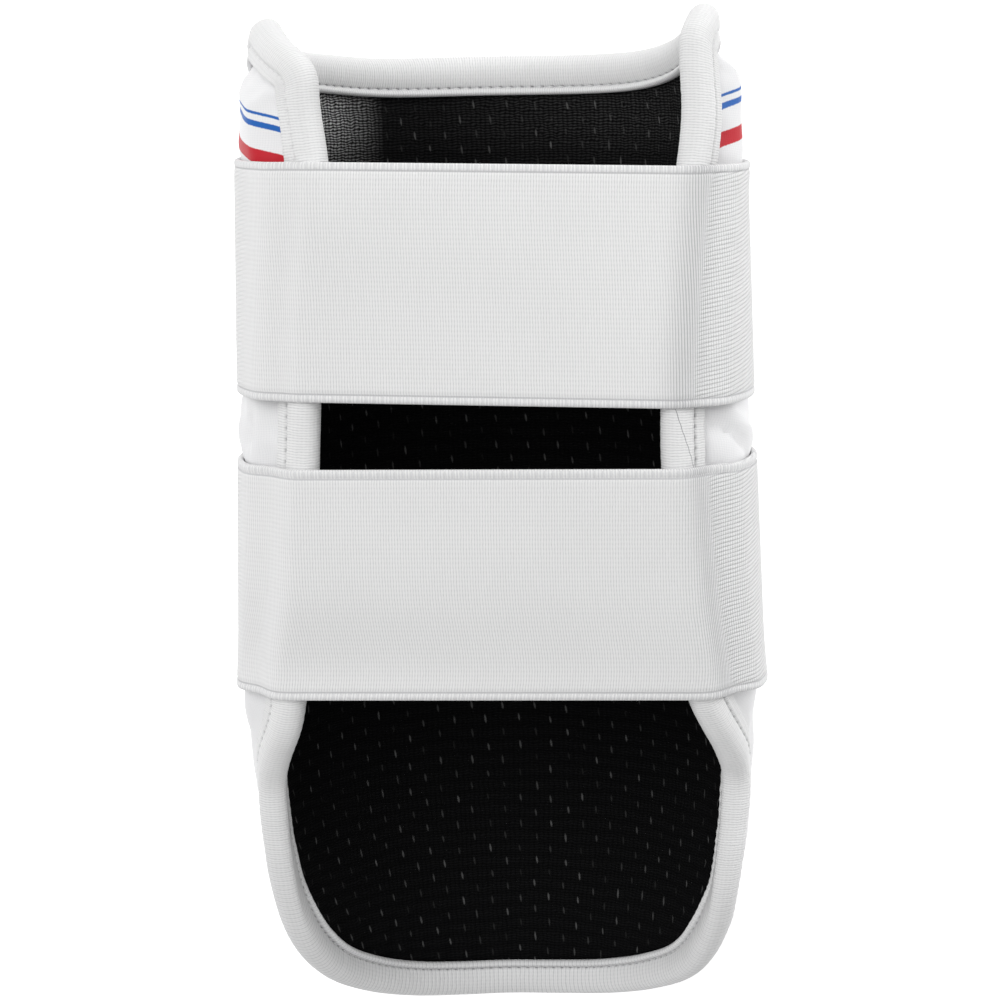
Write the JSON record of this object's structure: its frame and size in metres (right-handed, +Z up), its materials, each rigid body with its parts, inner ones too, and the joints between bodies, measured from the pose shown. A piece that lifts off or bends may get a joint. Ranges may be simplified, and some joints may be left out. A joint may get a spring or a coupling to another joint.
{
  "type": "elbow guard",
  "caption": "Padded C-shaped elbow guard with a perforated mesh lining, a bound edge, rounded lobes, a tongue and wide elastic straps across its open side.",
  "frame": {"origin": "centre of the guard's footprint on the surface that its padded back rests on", "axes": "+Z up, out of the open side that the straps cross; +Y along the arm to the lobed end; +X to the flap with the pull tabs"},
  "size_m": [0.1168, 0.2314, 0.075],
  "materials": {
    "cover": "smooth white coated knit over foam",
    "lining": "black perforated athletic mesh",
    "binding": "white ribbed knit tape",
    "elastic": "white ribbed woven elastic",
    "tab": "white hook tape"
  },
  "bodies": {
    "root": {"padded_shell": "cover", "mesh_lining": "lining", "edge_binding": "binding", "strap_upper": "elastic", "strap_lower": "elastic", "pull_tab_upper": "tab", "pull_tab_lower": "tab"}
  },
  "joints": []
}
